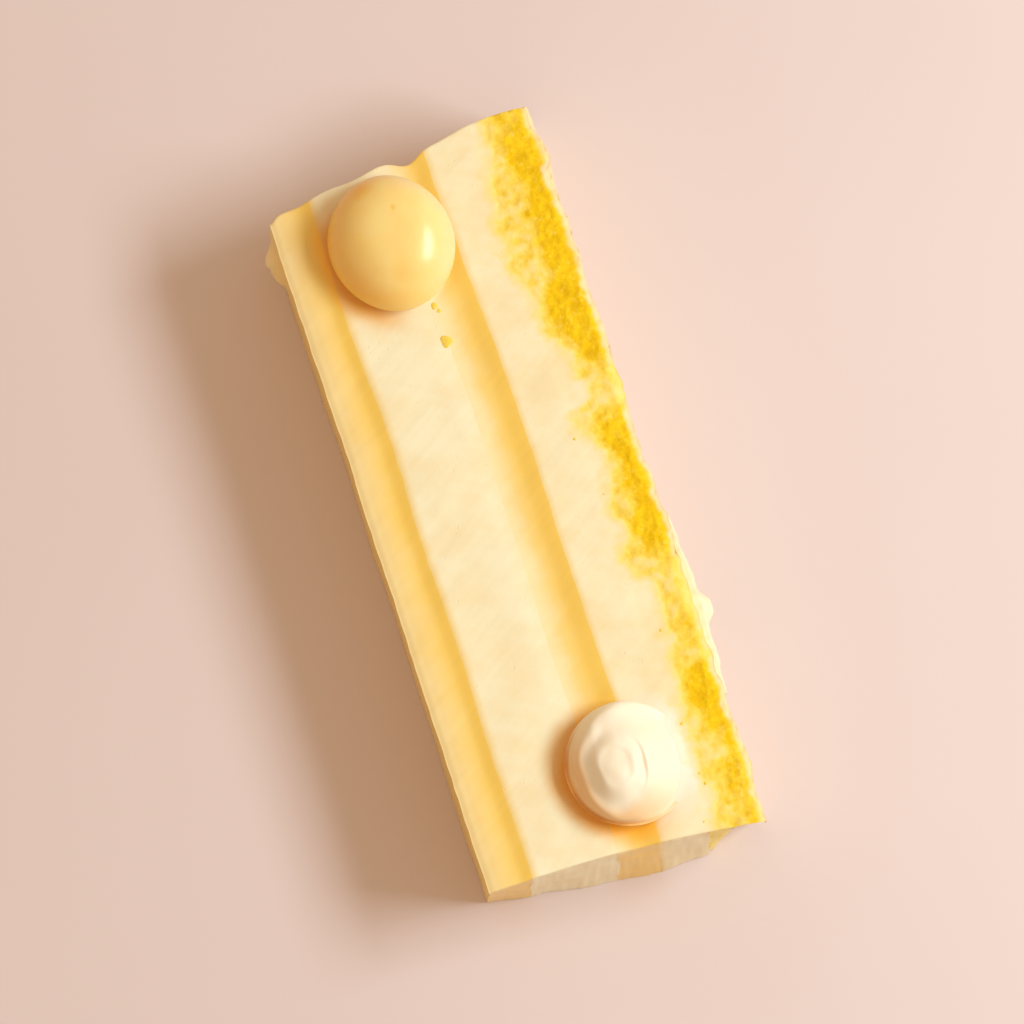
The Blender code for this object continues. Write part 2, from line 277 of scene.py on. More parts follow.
# %% [markdown]
# ## The cream that the knife dragged over the sponge
#
# The knife went from the curd side to the sponge side, so it wiped the narrow cream over the crumb. The
# film reaches further in some places than in others and thins out over a few millimetres. A few (along,
# reach) pairs give that edge, smooth steps join them, and noise makes it lumpy. Beyond it cream is still
# worked into the crumb, up to a second edge where the bare crumb starts, and a last list says where a
# thin veil lies even on that. The result, from 0 to 1, shapes and colours both the sponge and the cream.

# %% Reach of the film, start of the bare crumb and strength of the veil
FILM_REACH = (
    (-48, 29.3), (-44, 29.3), (-40, 29.8), (-36, 29.3), (-32, 29.7), (-26, 30.1), (-24, 30.5),
    (-20, 30.9), (-16, 31.2), (-14, 31.0), (-12.2, 29.5), (-10, 28.5), (-7, 29.7), (-4, 28.6), (-2.6, 29.8),
    (3, 30.5), (5, 29.6), (7.2, 28.6), (9, 28.9), (10.5, 31.5), (12, 31.5), (13.2, 30.4), (16, 30.4),
    (18, 29.2), (20, 28.4), (24, 28.1), (26.4, 27.4), (29, 26.9), (33, 26.8), (38, 27.4), (41, 28.0),
    (44, 28.8), (48, 29.4),
)  # fmt: skip
BARE_FROM = (
    (-48, 33.0), (-44, 32.4), (-40, 31.2), (-36, 32.8), (-32, 31.5), (-29.5, 30.4), (-26, 30.4),
    (-24, 33.6), (-20.5, 32.3), (-19.5, 32.3), (-16, 34.6), (-12.5, 33.6), (-10, 30.4), (-7, 30.0),
    (-4, 31.0), (0, 31.2), (4, 30.6), (6, 29.8), (8, 30.2), (9.5, 34.6), (12.5, 34.6), (14, 32.4),
    (16, 31.3), (19, 29.4), (24, 29.2), (26, 30.4), (30, 30.7), (37, 30.7), (40, 30.3), (44, 30.2),
    (48, 30.6),
)  # fmt: skip
VEIL = (
    (-48, 0.2), (-28, 0.0), (-26, 0.0), (-24, 0.3), (-20, 0.2), (-16, 0.4), (-13, 0.35), (-10, 0.1),
    (-8, 0.0), (6, 0.0), (7.5, 0.15), (9.5, 0.45), (12.5, 0.45), (14, 0.15), (16, 0.04), (40, 0.0),
    (48, 0.15),
)  # fmt: skip
WORKED_IN = 0.4


def film(across, along):
    """How much of the crumb the cream hides, from 0 (bare crumb) to 1 (no crumb shows)."""
    torn = 0.6 * grain(across, along, 0, 2.4 * MM, 4) + 0.4 * grain(across, along, 0, 1.3 * MM, 3)
    lumps = 0.6 * grain(across, along, 0, 1.5 * MM, 8) + 0.35 * grain(across, along, 0, 0.8 * MM, 11)
    beyond = across / MM - ease(FILM_REACH, along / MM) - torn
    edge = 1.0 - smooth(-2.3, 1.9, beyond)
    past = across / MM - ease(BARE_FROM, along / MM) - torn
    worked = WORKED_IN * (1.0 + 0.7 * lumps) * (1.0 - smooth(-1.2, 1.5, past))
    veil = ease(VEIL, along / MM) * (1.0 + 0.5 * lumps)
    return min(1.0, max(0.0, edge, worked, veil))


print("film at the middle of the sponge:", [round(film(31.5 * MM, a * MM), 2) for a in (-40, -20, 0, 11, 30)])

# %% [markdown]
# ## The crumb
#
# A sponge is foam: bubbles of many sizes that the knife cut open. Three sizes of cells give it. In each
# size some cells are pits and the others are left, so the pits don't sit side by side like a honeycomb.

# %% Depth of the crumb
CRUMB_DEPTH = 0.42 * MM
BUBBLES = ((2.1 * MM, 0.5, 0.62), (1.15 * MM, 0.6, 0.5), (0.65 * MM, 0.75, 0.3))


def crumb(point):
    """How deep the crumb is torn at a point, from 0 to 1."""
    deep = 0.0
    for size, share, weight in BUBBLES:
        distances, centres = noise.voronoi(point / size, distance_metric="DISTANCE")
        chosen = 0.5 + 0.5 * noise.noise(centres[0] * 7.7)
        bubble = max(0.0, 1.0 - (distances[0] / 0.52) ** 2) ** 0.5
        deep = max(deep, weight * bubble * smooth(share - 0.08, share + 0.02, 1.0 - abs(2.0 * chosen - 1.0)))
    fine = 0.5 + 0.5 * noise.fractal(point / (0.8 * MM), 0.8, 2.2, 3)
    return min(1.0, deep + 0.34 * fine)


samples = [crumb(Vector((i * 0.37, i * 0.91, i * 0.53)) * MM) for i in range(400)]
print(f"crumb: mean depth {sum(samples) / 400:.2f}, deepest {max(samples):.2f}")

# %% [markdown]
# ## A block that can be bent to any layer
#
# Each layer is one closed block with a fine skin. `create_grid` makes the cut face, `bisect_plane` adds
# loops close to its ends, and its rim is extruded down ring by ring, close together near the cut face,
# where the light catches the edge. The base is one face inside a narrow rim, so that rough walls don't
# notch it. A second step moves each vertex to its place and keeps its share across and along as the UV
# map, which the materials read.

# %% The unit block
SKIN = 0.28 * MM
EDGE_LOOPS = (0.1 * MM, 0.25 * MM)
BASE_RIM = 1.2 * MM
MEAN_LENGTH = (LENGTH_AT_CURD + LENGTH_AT_SPONGE) / 2


def ring_depths(step):
    """How far down each ring of a wall lies: close together under the cut face, then growing to step."""
    depths = [0.1 * MM, 0.25 * MM]
    while depths[-1] < THICKNESS - 1.5 * step:
        depths.append(depths[-1] + min(step, 0.2 * MM + 0.35 * depths[-1]))
    return depths + [THICKNESS]


def rim_below(bm):
    """Extrudes the sheet's open rim and gives the new vertices, for the caller to move."""
    rim = [edge for edge in bm.edges if edge.is_boundary]
    ring = bmesh.ops.extrude_edge_only(bm, edges=rim)["geom"]
    return [item for item in ring if isinstance(item, bmesh.types.BMVert)]


def unit_block(width, skin, wall_step):
    """A closed block from 0 to 1 on each axis, with loops spaced for a layer of this width."""
    bm = bmesh.new()
    cells = (max(3, round(width / skin)), round(MEAN_LENGTH / skin))
    bmesh.ops.create_grid(bm, x_segments=cells[0], y_segments=cells[1], size=0.5)
    bmesh.ops.translate(bm, verts=bm.verts, vec=(0.5, 0.5, 1.0))
    for axis, length in ((0, width), (1, MEAN_LENGTH)):
        for inset in EDGE_LOOPS:
            for place in (inset / length, 1.0 - inset / length):
                point = [0.5, 0.5, 1.0]
                point[axis] = place
                normal = [0.0, 0.0, 0.0]
                normal[axis] = 1.0
                everything = bm.verts[:] + bm.edges[:] + bm.faces[:]
                bmesh.ops.bisect_plane(bm, geom=everything, dist=1e-7, plane_co=point, plane_no=normal)
    for depth in ring_depths(wall_step):
        for vert in rim_below(bm):
            vert.co.z = 1.0 - depth / THICKNESS
    for vert in rim_below(bm):
        vert.co.x = blend(vert.co.x, 0.5, 2.0 * BASE_RIM / width)
        vert.co.y = blend(vert.co.y, 0.5, 2.0 * BASE_RIM / MEAN_LENGTH)
    bmesh.ops.contextual_create(bm, geom=[edge for edge in bm.edges if edge.is_boundary])
    bmesh.ops.recalc_face_normals(bm, faces=bm.faces)
    return bm


def rounded(first, second, radius):
    """Moves a point that is on one of two faces, given its distance to each, onto their rounded edge."""
    if first >= radius or second >= radius or min(first, second) > 1e-9:
        return first, second
    turn = math.pi / 4 * (1.0 - second / radius if first <= second else 1.0 + first / radius)
    return radius * (1.0 - math.cos(turn)), radius * (1.0 - math.sin(turn))


trial = unit_block(WIDTHS[WIDE_CREAM], SKIN, 0.9 * MM)
print("unit block:", len(trial.verts), "vertices, closed:", all(edge.is_manifold for edge in trial.edges))
trial.free()

# %% [markdown]
# ## From a block to a layer
#
# `shape_layer` bends a unit block between two boundaries and two ends. It takes two small functions, one
# for the drop of the cut face and one for the walls, so each food keeps its own surface. All ends are
# rounded alike, by a few tenths of a millimetre, so the layers still meet. What a function measures on
# the way, such as how deep a pore is, is kept on the vertices as an attribute for the material.

# %% Shaping a layer
END_ROUND = 0.4 * MM


def shape_layer(number, skin, wall_step, drop, wall, marks):
    """One layer as a bmesh. drop tells how low its face is and wall moves a point of its sides.

    Both also return the point's marks, a tuple of numbers.
    """
    bm = unit_block(WIDTHS[number], skin, wall_step)
    uv = bm.loops.layers.uv.new("UVMap")
    layers = [bm.verts.layers.float.new(mark) for mark in marks]
    shares = {}
    for vert in bm.verts:
        u, v, w = vert.co
        shares[vert] = (u, v)
        down = THICKNESS * (1.0 - w)
        in_from_end = min(v, 1.0 - v) * MEAN_LENGTH
        down, inward = rounded(down, in_from_end, END_ROUND)
        v_round = v + (inward - in_from_end) / MEAN_LENGTH * (1.0 if v < 0.5 else -1.0)
        up = THICKNESS - down
        guess = blend(near_end(WIDTH / 2, up), far_end(WIDTH / 2, up), v_round)
        across = blend(joint_at(number, guess, up), joint_at(number + 1, guess, up), u)
        along = blend(near_end(across, up), far_end(across, up), v_round)
        place = Vector((across, along, up))
        low, values = drop(number, u, across, along)
        place.z = up * (1.0 - low / THICKNESS)
        if w < 1.0:
            values = wall(place, u, v)
        vert.co = START + place
        for layer, value in zip(layers, values):
            vert[layer] = value
    for face in bm.faces:
        for loop in face.loops:
            loop[uv].uv = shares[loop.vert]
    return bm


def new_object(name, bm, material):
    """An object with one material, from a bmesh."""
    mesh = bpy.data.meshes.new(name)
    bm.to_mesh(mesh)
    bm.free()
    mesh.materials.append(material)
    thing = bpy.data.objects.new(name, mesh)
    bpy.context.scene.collection.objects.link(thing)
    return thing


def finish_piece(name, bm, material, node=None, sharp=50):
    """Makes the object, shades it smooth between edges and hangs it on the slice."""
    piece = new_object(name, bm, material)
    mesh = piece.data
    mesh.shade_smooth()
    mesh.set_sharp_from_angle(angle=math.radians(sharp))
    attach(piece, "root")
    if node:
        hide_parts(node)
    print(name, len(mesh.polygons), "faces,", len(mesh.materials), "material")
    return piece


# %% [markdown]
# ## Writing materials as sums
#
# A material is a network of nodes, but its maths reads better as Python. `Wire` holds one output of a
# node, and Python's operators on it add the Math node that does the sum. `Finish` starts a material, and
# its `node` method makes any other node from its type, its settings and its inputs.


# %% A small language for materials
class Wire:
    """One output of a node, which takes part in sums."""

    def __init__(self, finish, socket):
        self.finish = finish
        self.socket = socket

    def sum(self, operation, first, second):
        return self.finish.node("ShaderNodeMath", {"operation": operation}, {0: first, 1: second})

    def __add__(self, other):
        return self.sum("ADD", self, other)

    def __radd__(self, other):
        return self.sum("ADD", other, self)

    def __sub__(self, other):
        return self.sum("SUBTRACT", self, other)

    def __rsub__(self, other):
        return self.sum("SUBTRACT", other, self)

    def __mul__(self, other):
        return self.sum("MULTIPLY", self, other)

    def __rmul__(self, other):
        return self.sum("MULTIPLY", other, self)


class Finish:
    """A food's surface: a Principled shader, its fixed values and the nodes that vary it."""

    def __init__(self, name, **fixed):
        self.material = bpy.data.materials.new(name)
        self.material.use_nodes = True
        self.tree = self.material.node_tree
        self.shader = self.tree.nodes["Principled BSDF"]
        for socket, value in fixed.items():
            self.shader.inputs[socket.replace("_", " ").title()].default_value = value
        self.place = self.node("ShaderNodeTexCoord", {}, {}, "Object")

    def node(self, kind, settings, values, output=0):
        node = self.tree.nodes.new(kind)
        for name, value in settings.items():
            setattr(node, name, value)
        for key, value in values.items():
            if isinstance(value, Wire):
                self.tree.links.new(value.socket, node.inputs[key])
            else:
                node.inputs[key].default_value = value
        return Wire(self, node.outputs[output])

    def varies(self, socket, wire):
        self.tree.links.new(wire.socket, self.shader.inputs[socket])

    def attribute(self, name):
        return self.node("ShaderNodeAttribute", {"attribute_name": name}, {}, "Fac")

    def stretched(self, sizes, turn=0.0):
        """Object coordinates counted in features of the given size on each axis, turned about Z."""
        scale = tuple(1.0 / size for size in sizes)
        turned = self.node("ShaderNodeMapping", {"vector_type": "POINT"}, {0: self.place, 2: (0, 0, turn)})
        return self.node("ShaderNodeMapping", {"vector_type": "POINT"}, {0: turned, 3: scale})

    def cloud(self, sizes, detail=2.0, turn=0.0):
        """Noise from 0 to 1 with features of the given size, or one size for each axis."""
        sizes = sizes if isinstance(sizes, tuple) else (sizes, sizes, sizes)
        values = {"Vector": self.stretched(sizes, turn), "Scale": 1.0, "Detail": detail}
        return self.node("ShaderNodeTexNoise", {}, values, 0)

    def cells(self, size):
        """Distance to the nearest of scattered points, about 0 to 1."""
        values = {"Vector": self.stretched((size, size, size)), "Scale": 1.0, "Randomness": 1.0}
        return self.node("ShaderNodeTexVoronoi", {"feature": "F1"}, values, "Distance")

    def step(self, value, low, high, curve="SMOOTHSTEP"):
        """0 below low, 1 above high and an even curve between."""
        values = {"Value": value, "From Min": low, "From Max": high}
        return self.node("ShaderNodeMapRange", {"interpolation_type": curve}, values)

    def ramp(self, value, low, high):
        """0 below low, 1 above high and a straight line between."""
        return self.step(value, low, high, "LINEAR")

    def mix(self, share, first, second):
        """A colour between two colours."""
        return self.node("ShaderNodeMix", {"data_type": "RGBA"}, {0: share, 6: first, 7: second}, 2)

    def bump(self, height, depth, strength=1.0, under=None):
        """Tilts the surface as if height, from 0 to 1, stood up by depth."""
        values = {"Height": height, "Distance": depth, "Strength": strength}
        if under:
            values["Normal"] = under
        return self.node("ShaderNodeBump", {}, values)


def tint(red, green, blue):
    """A colour as it looks on screen, from 0 to 255, as the linear values that a shader takes."""
    values = [v / 255 for v in (red, green, blue)]
    return (*(v / 12.92 if v <= 0.04045 else ((v + 0.055) / 1.055) ** 2.4 for v in values), 1.0)


print("cream's linear colour:", [round(v, 3) for v in tint(254, 234, 193)])

# %% [markdown]
# ## Cream
#
# Whipped cream is dense foam, never flat white: the knife left faint slanting strokes that picked up a
# little curd, and small air bubbles show as pinholes. The layers are separate pieces, so light that
# scattered inside one would be lost at the next and draw a dark line, and the cream dot is thin on one
# side. So no cream here scatters light, and only the custard does.

# %% The cream's surface
CREAM_COLOUR = tint(243, 236, 204)
CREAM_WARM = tint(241, 224, 180)
CREAM_MILK = tint(244, 238, 220)
CURD_SMEAR_AND_SHADE = tint(240, 208, 128)
# Painted shade: the orange used for the shadows painted beside the dots.
PAINTED_SHADE_ORANGE = tint(234, 168, 52)


def cream_colour(finish, warmth=0.0):
    """Cream's colour, warmer in places, and the knife's strokes that made it so."""
    strokes = finish.cloud((6 * MM, 1.6 * MM, 6 * MM), 2.0, turn=0.5)
    patches = finish.cloud(5 * MM, 2.0)
    warm = finish.step(patches * 0.7 + strokes * 0.3, 0.35, 0.68) * 0.7 + warmth
    return finish.mix(warm, CREAM_COLOUR, CREAM_WARM), strokes


def share_across(finish):
    """How far across its layer a point is, from the UV map that the layer's block left behind."""
    return finish.node("ShaderNodeSeparateXYZ", {}, {0: finish.node("ShaderNodeTexCoord", {}, {}, "UV")}, 0)


def knife_marks(cream, strokes):
    """Faint strokes, rare pinholes and a fine grain, as a tilt of the surface."""
    pinholes = cream.step(cream.cells(0.9 * MM), 0.05, 0.16)
    rare = cream.step(cream.cloud(3.5 * MM, 1.0), 0.56, 0.64)
    holes = 1.0 - (1.0 - pinholes) * rare
    normal = cream.bump(strokes, 0.06 * MM, 0.4)
    normal = cream.bump(cream.cloud(0.5 * MM, 3.0), 0.04 * MM, 0.35, normal)
    return cream.bump(holes, 0.08 * MM, 0.5, normal)


cream = Finish("whipped_cream", roughness=0.5)
clean, strokes = cream_colour(cream)
share = share_across(cream)
# Partly curd smeared by the knife, partly painted shade: the cream is warmer at its edges, most on the left
# beside the curd.
curd_smear_and_shade = (1.0 - cream.step(share, 0.0, 0.11)) * 0.75 + cream.step(share, 0.86, 1.0) * 0.12
smeared = cream.mix(curd_smear_and_shade * cream.attribute("layer"), clean, CURD_SMEAR_AND_SHADE)
# Painted shadow: the cream turns orange where the dots' shadow is painted on it.
cream.varies("Base Color", cream.mix(cream.attribute("painted_dot_shadow") * 0.9, smeared, PAINTED_SHADE_ORANGE))
cream.varies("Roughness", 0.46 + strokes * 0.14)
cream.varies("Normal", knife_marks(cream, strokes))
print("cream:", len(cream.tree.nodes), "nodes")

# %% [markdown]
# ## Curd
#
# Set lemon curd is smooth, golden and slightly glossy. It is paler on the side that the knife reached
# first, where some cream was dragged over it, and deepens to gold towards the next cream, partly its own
# colour and partly painted shade below that cream's raised edge. The layer's UV map says how far across a
# point is, and noise keeps both changes ragged.

# %% The curd's surface
CURD_GOLD = tint(244, 206, 98)
CURD_PALE = tint(243, 212, 134)
CURD_VEILED = tint(243, 226, 177)
CURD_PAINTED_SHADE = tint(250, 178, 26)
CUT_FACE_LEVELS = (15.2 * MM, 15.9 * MM)


def curd_finish(name, gold_from, veil_to, veil_strength):
    """A curd that deepens to gold after one share of its width and is veiled up to another."""
    curd = Finish(name, roughness=0.34)
    curd.shader.inputs["Coat Roughness"].default_value = 0.2
    share = share_across(curd)
    streaks = curd.cloud((7 * MM, 1.2 * MM, 7 * MM), 3.0)
    slow = curd.cloud(4.5 * MM, 2.0)
    ragged = share + (streaks - 0.5) * 0.2 + (slow - 0.5) * 0.4
    veil = (1.0 - curd.step(ragged, 0.0, veil_to)) * veil_strength
    height = curd.node("ShaderNodeSeparateXYZ", {}, {0: curd.place}, 2)
    on_cut = curd.step(height, *CUT_FACE_LEVELS)
    # Partly painted shade: the gold deepens towards the next cream, whose raised edge shades the curd.
    gold_and_shade = curd.step(share + (slow - 0.5) * 0.5, gold_from, gold_from + 0.55) + (1.0 - on_cut) * 0.7
    body = curd.mix(gold_and_shade, CURD_PALE, CURD_GOLD)
    dry = curd.mix(veil * on_cut + curd.attribute("lobe") * 0.8, body, CURD_VEILED)
    # Painted shadow: the curd turns a deeper orange where the dots' shadow is painted on it.
    curd.varies("Base Color", curd.mix(curd.attribute("painted_dot_shadow"), dry, CURD_PAINTED_SHADE))
    curd.varies("Roughness", 0.32 + streaks * 0.12 + veil * on_cut * 0.12)
    curd.varies("Coat Weight", 0.25 - veil * on_cut * 0.15)
    normal = curd.bump(streaks, 0.05 * MM, 0.3)
    curd.varies("Normal", curd.bump(curd.cloud(1.4 * MM, 3.0), 0.04 * MM, 0.3, normal))
    return curd


outer_curd = curd_finish("curd_outer", 0.35, 0.5, 0.6)
inner_curd = curd_finish("curd_inner", 0.25, 0.5, 0.95)
print("curd:", len(inner_curd.tree.nodes), "nodes")

# %% [markdown]
# ## Sponge
#
# The crumb is strong yellow, a little darker and more orange down in the pores, where light has bounced
# off more crumb. The side that stood on the baking tray has a thin pale skin. The knife's cream film lies
# over part of the cut face: the `film` attribute says how much, and noise makes it lumpy. Where cream is
# only worked into the crumb, both together are a pale yellow. The narrow cream uses the same recipe, so
# that cream and film are one surface and no line shows where they meet.

# %% The surface of sponge and wiped cream
CRUMB_BRIGHT = tint(242, 203, 26)
CRUMB_YELLOW = tint(232, 188, 6)
CRUMB_PORE_SHADE = tint(216, 168, 6)
CRUMB_PALE = tint(243, 223, 130)
CRUMB_WORKED = tint(243, 216, 102)
CRUST = tint(242, 221, 182)


def wiped_crumb(finish, skin):
    """The colour of crumb and film, how much the film hides, the crumb's fine noise and the strokes."""
    fleck = finish.cloud(0.5 * MM, 3.0)
    speck = finish.cloud(1.0 * MM, 2.0)
    uneven = finish.attribute("film") + (fleck - 0.5) * 0.12 + (speck - 0.5) * 0.28
    coverage = finish.ramp(uneven, 0.0, 0.98)
    tone = finish.cloud(4 * MM, 2.0)
    bright = finish.mix(finish.step(tone * 0.5 + fleck * 0.5, 0.36, 0.64), CRUMB_YELLOW, CRUMB_BRIGHT)
    # Painted shade: darker and more orange down in the pores.
    torn = finish.mix(finish.step(finish.attribute("pore"), 0.5, 0.98) * 0.7, bright, CRUMB_PORE_SHADE)
    residue = finish.step(speck * 0.7 + fleck * 0.3, 0.56, 0.78) * 0.25
    dusted = finish.mix(residue, torn, CRUMB_PALE)
    crusted = finish.mix(skin * (0.7 + 0.3 * fleck), dusted, CRUST)
    warm, strokes = cream_colour(finish, 0.25)
    clean = finish.mix(finish.attribute("milk"), warm, CREAM_MILK)
    finish.varies("Roughness", 0.9 - coverage * 0.38)
    worked = finish.mix(finish.ramp(coverage, 0.06, 0.46), crusted, CRUMB_WORKED)
    return finish.mix(finish.ramp(coverage, 0.38, 1.0), worked, clean), coverage, fleck, strokes


sponge = Finish("madeleine_crumb", roughness=0.85)
sponge.shader.inputs["Specular IOR Level"].default_value = 0.2
colour, coverage, fleck, _ = wiped_crumb(sponge, sponge.attribute("skin"))
sponge.varies("Base Color", colour)
grains = (sponge.cells(0.42 * MM) * 0.6 + fleck * 0.7) * (1.0 - coverage)
rough = sponge.bump(grains, 0.1 * MM, 0.7)
sponge.varies("Normal", sponge.bump(coverage, 0.04 * MM, 0.5, rough))

narrow_cream = Finish("whipped_cream_wiped", roughness=0.5)
colour, _, _, strokes = wiped_crumb(narrow_cream, 0.0)
# Partly curd smeared by the knife, partly painted shade: the cream is warmer on its left beside the curd.
curd_smear_and_shade = (1.0 - narrow_cream.step(share_across(narrow_cream), 0.0, 0.16)) * 0.6
smeared = narrow_cream.mix(curd_smear_and_shade, colour, CURD_SMEAR_AND_SHADE)
# Painted shadow: the wiped cream turns orange where the dots' shadow is painted on it.
narrow_cream.varies("Base Color", narrow_cream.mix(narrow_cream.attribute("painted_dot_shadow") * 0.9, smeared, PAINTED_SHADE_ORANGE))
narrow_cream.varies("Normal", knife_marks(narrow_cream, strokes))
print("sponge:", len(sponge.tree.nodes), "nodes, wiped cream:", len(narrow_cream.tree.nodes), "nodes")

# %% [markdown]
# ## The two curd layers
#
# The outer curd was the cake's top, spread smooth with a palette knife, and a small ruffled lobe of it
# swelled out near the far end. The middle curd shows only on the cut face and at the ends.

# %% Curd layers
LOBE_ALONG = 39.4 * MM
LOBE_UP = 10.5 * MM
LOBE_DEPTH = 1.8 * MM
LOBE_LIMIT = 2.0 * MM
END_INSET = 0.1 * MM


def plain_drop(number, u, across, along):
    return sunk(number, u, across, along), (painted_dot_shadow(across, along),)


def lobe(along, up):
    """A ruffled bit of curd that swelled out on the side that was the cake's top."""
    sideways = (along - LOBE_ALONG) / (2.6 * MM)
    upright = (up - LOBE_UP) / (3.0 * MM)
    ruffle = 1.0 + 0.12 * math.sin((along + 0.5 * up) / (0.55 * MM))
    torn = 1.0 + 0.15 * grain(0, along, up, 1.1 * MM, 31)
    return LOBE_DEPTH * ruffle * torn * math.exp(-(sideways**2) - upright**2)


def plain_wall(place, u, v):
    """The knife's faint upright strokes on both ends. The walls get no painted dot shadow."""
    if v in (0.0, 1.0):
        stroke = grain(place.x, 0, place.z, (0.6 * MM, MM, 9 * MM), 41)
        ripple = grain(place.x, 0, place.z, 2.5 * MM, 42)
        inward = 1.0 if v == 0.0 else -1.0
        place.y += (END_INSET + (0.06 * stroke + 0.1 * ripple) * MM) * inward
    return (0.0,)


def outer_curd_wall(place, u, v):
    swelling = 0.0
    if u == 0.0:
        strokes = grain(0, place.y, place.z, (MM, 14 * MM, 2.2 * MM), 33)
        dents = grain(0, place.y, place.z, 4 * MM, 34)
        swelling = min(lobe(place.y, place.z), LOBE_LIMIT)
        inward = (0.12 + 0.05 * strokes + 0.08 * dents) * MM
        place.x += inward * smooth(0.0, 2.5 * MM, THICKNESS - place.z) - swelling
    return (*plain_wall(place, u, v), swelling / LOBE_DEPTH)


bm = shape_layer(TOP_CURD, SKIN, 0.35 * MM, plain_drop, outer_curd_wall, ("painted_dot_shadow", "lobe"))
finish_piece("curd_top_layer", bm, outer_curd.material, "top_curd")
bm = shape_layer(MIDDLE_CURD, SKIN, 0.9 * MM, plain_drop, plain_wall, ("painted_dot_shadow",))
finish_piece("curd_middle_layer", bm, inner_curd.material, "middle_curd")

# %% [markdown]
# ## The two cream layers
#
# Each cream stands proud on the side where the knife came in, which the cut face's profile gives. The
# narrow one also takes part in the tearing of the crumb beside it, fading in over its last third.

# %% Cream layers
def wide_cream_drop(number, u, across, along):
    return sunk(number, u, across, along), (painted_dot_shadow(across, along), 1.0)


def wide_cream_wall(place, u, v):
    return (*plain_wall(place, u, v), 0.0)


def torn_crumb(across, along, cover):
    """How deep the crumb is torn at a place, from 0 to 1, and how far that sinks the face."""
    depth = crumb(Vector((across, along, THICKNESS)))
    bare = (1.0 - smooth(0.0, 0.7, cover)) * open_face(across, along)
    return depth, (CRUMB_DEPTH * depth + 0.05 * MM) * bare


def narrow_cream_drop(number, u, across, along):
    cover = film(across, along)
    depth, low = torn_crumb(across, along, cover)
    marks = (painted_dot_shadow(across, along), depth, cover, milk(across, along))
    return sunk(number, u, across, along) + low * smooth(0.7, 1.0, u), marks


def narrow_cream_wall(place, u, v):
    return (*plain_wall(place, u, v), 0.0, 1.0, 0.0)


bm = shape_layer(WIDE_CREAM, SKIN, 0.9 * MM, wide_cream_drop, wide_cream_wall, ("painted_dot_shadow", "layer"))
finish_piece("cream_wide_layer", bm, cream.material, "wide_cream")
marks = ("painted_dot_shadow", "pore", "film", "milk")
bm = shape_layer(NARROW_CREAM, SKIN, 0.9 * MM, narrow_cream_drop, narrow_cream_wall, marks)
finish_piece("cream_narrow_layer", bm, narrow_cream.material, "narrow_cream")

# %% [markdown]
# ## The sponge layer
#
# The sponge has the most relief. On the cut face the crumb is torn wherever the film doesn't fill it. The
# outer side was baked on a tray, so its skin is nearly closed, with only the largest pores open. The near
# end has cream smeared over it.

# %% Sponge layer
END_FILM = 0.6


def sponge_drop(number, u, across, along):
    cover = film(across, along)
    depth, low = torn_crumb(across, along, cover)
    edge = u + 0.035 * grain(across, along, 0, 1.0 * MM, 46) + 0.09 * bell(along, LUMP_ALONG, 1.5 * MM)
    marks = (depth, cover, smooth(0.86, 0.97, edge), milk(across, along))
    return sunk(number, u, across, along) + low, marks


def sponge_wall(place, u, v):
    depth = crumb(place)
    if u == 1.0:
        near_top = smooth(2.0 * MM, 0.0, THICKNESS - place.z)
        torn = 0.35 + 0.4 * near_top
        place.x -= CRUMB_DEPTH * (0.12 + torn * smooth(0.35, 0.95, depth))
        return depth * 0.7, 0.0, 1.0 - 0.4 * near_top, 0.0
    if v == 0.0:
        place.y += CRUMB_DEPTH * (0.5 + depth)
        return depth, END_FILM, smooth(0.955, 1.0, u), 0.0
    if v == 1.0:
        place.y -= CRUMB_DEPTH * (0.5 + depth)
    return depth, 0.0, smooth(0.955, 1.0, u), 0.0


bm = shape_layer(SPONGE, 0.26 * MM, 0.3 * MM, sponge_drop, sponge_wall, ("pore", "film", "skin", "milk"))
finish_piece("sponge_layer", bm, sponge.material, "madeleine_sponge", sharp=80)

# %% [markdown]
# ## Piped dots: one outline, turned
#
# A dot squeezed from a round nozzle is nearly a turned shape: its half outline, spun round the axis,
# gives it. The solids have the same outline with few points. Here it has many, and a second step pushes
# the turned shape out of true, as gravity and a lifted nozzle do.

# %% Turning an outline
TUCK = 1.9 * MM
TUCK_ANGLE = -38
DOT_FOOT = TUCK * math.sin(math.radians(TUCK_ANGLE))
SINK = GAP + 0.12 * MM


def foot_outline(radius, steps=8):
    """Points (radius, height) of a dot's tucked-in foot, up to just below its widest line.

    It starts a little lower than the solid's foot, to close the gap that the solids keep to the face.
    """
    angles = [math.radians(TUCK_ANGLE * (1.0 - i / steps)) for i in range(steps)]
    points = [(radius * math.cos(angle), TUCK * math.sin(angle)) for angle in angles]
    return [(points[0][0], DOT_FOOT - SINK)] + points


def turned(outline, turns):
    """A closed round solid from an outline that runs from the foot to the top on the axis."""
    bm = bmesh.new()
    verts = [bm.verts.new((r, 0.0, z)) for r, z in outline]
    edges = [bm.edges.new(pair) for pair in zip(verts, verts[1:])]
    centre = {"cent": (0, 0, 0), "axis": (0, 0, 1)}
    bmesh.ops.spin(bm, geom=verts + edges, angle=2 * math.pi, steps=turns, use_merge=True, **centre)
    bmesh.ops.remove_doubles(bm, verts=bm.verts, dist=0.002 * MM)
    bmesh.ops.contextual_create(bm, geom=[edge for edge in bm.edges if edge.is_boundary])
    bmesh.ops.recalc_face_normals(bm, faces=bm.faces)
    return bm


def stand(bm, centre):
    """Stands a dot on the cut face."""
    bmesh.ops.translate(bm, verts=bm.verts, vec=START + Vector((*centre, THICKNESS + GAP - DOT_FOOT)))


